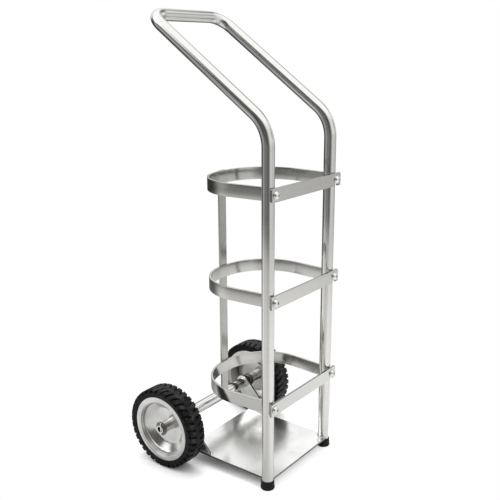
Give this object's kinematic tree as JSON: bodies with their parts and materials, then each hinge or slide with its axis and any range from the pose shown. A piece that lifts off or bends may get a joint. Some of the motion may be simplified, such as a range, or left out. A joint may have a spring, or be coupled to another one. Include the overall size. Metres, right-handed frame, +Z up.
{
  "type": "gas cylinder trolley",
  "caption": "Upright stainless-steel gas cylinder trolley: bent tube frame, base plate, three strip hoops with swing-up front bars, and a rear axle with rubber-tyred wheels.",
  "frame": {"origin": "on the floor, in the middle of the cart's footprint", "axes": "+X from the left wheel to the right wheel, +Y from the front, where the cylinder is loaded, to the wheels and the handle, +Z up"},
  "size_m": [0.4104, 0.3894, 1.0763],
  "materials": {
    "polished_stainless": "polished stainless steel tube",
    "brushed_stainless": "stainless strip, brushed along its length",
    "plate_stainless": "stainless sheet with a soft mirror",
    "wheel_steel": "polished wheel rim and disc",
    "fastener_stainless": "bright stainless screws, washers and pins",
    "bush_bronze": "plain sintered bronze",
    "tyre_rubber": "black rubber with a lugged tread",
    "rubber": "black moulded rubber"
  },
  "bodies": {
    "frame": {"upright_left": "polished_stainless", "upright_right": "polished_stainless", "handle": "polished_stainless", "foot_cap_left": "rubber", "foot_cap_right": "rubber", "base_plate": "plate_stainless", "hoop_low": "brushed_stainless", "hoop_middle": "brushed_stainless", "hoop_top": "brushed_stainless", "rear_strip": "brushed_stainless", "gusset_left": "brushed_stainless", "gusset_right": "brushed_stainless", "axle_tube": "polished_stainless", "axle_collars": "brushed_stainless", "axle": "polished_stainless", "screw_bosses": "brushed_stainless", "hinge_screws": "fastener_stainless", "latch_screws": "fastener_stainless", "screw_washers": "fastener_stainless", "axle_washers": "fastener_stainless", "split_pins": "fastener_stainless"},
    "wheel_left": {"tyre_left": "tyre_rubber", "rim_left": "wheel_steel", "disc_left": "wheel_steel", "hub_left": "wheel_steel", "bushes_left": "bush_bronze"},
    "wheel_right": {"tyre_right": "tyre_rubber", "rim_right": "wheel_steel", "disc_right": "wheel_steel", "hub_right": "wheel_steel", "bushes_right": "bush_bronze"},
    "bar_low": {"bar_low": "brushed_stainless"},
    "bar_middle": {"bar_middle": "brushed_stainless"},
    "bar_top": {"bar_top": "brushed_stainless"}
  },
  "joints": [
    {"name": "wheel_left_spin", "type": "hinge", "parent": "frame", "child": "wheel_left", "pos_m": [-0.178, 0.09495, 0.1], "axis": [1, 0, 0], "continuous": true},
    {"name": "wheel_right_spin", "type": "hinge", "parent": "frame", "child": "wheel_right", "pos_m": [0.178, 0.09495, 0.1], "axis": [1, 0, 0], "continuous": true},
    {"name": "bar_low_swing", "type": "hinge", "parent": "frame", "child": "bar_low", "pos_m": [-0.122, -0.18485, 0.205], "axis": [0, -1, 0], "range_deg": [0, 55]},
    {"name": "bar_middle_swing", "type": "hinge", "parent": "frame", "child": "bar_middle", "pos_m": [-0.122, -0.18485, 0.458], "axis": [0, -1, 0], "range_deg": [0, 50]},
    {"name": "bar_top_swing", "type": "hinge", "parent": "frame", "child": "bar_top", "pos_m": [-0.122, -0.18485, 0.693], "axis": [0, -1, 0], "range_deg": [0, 110]}
  ]
}
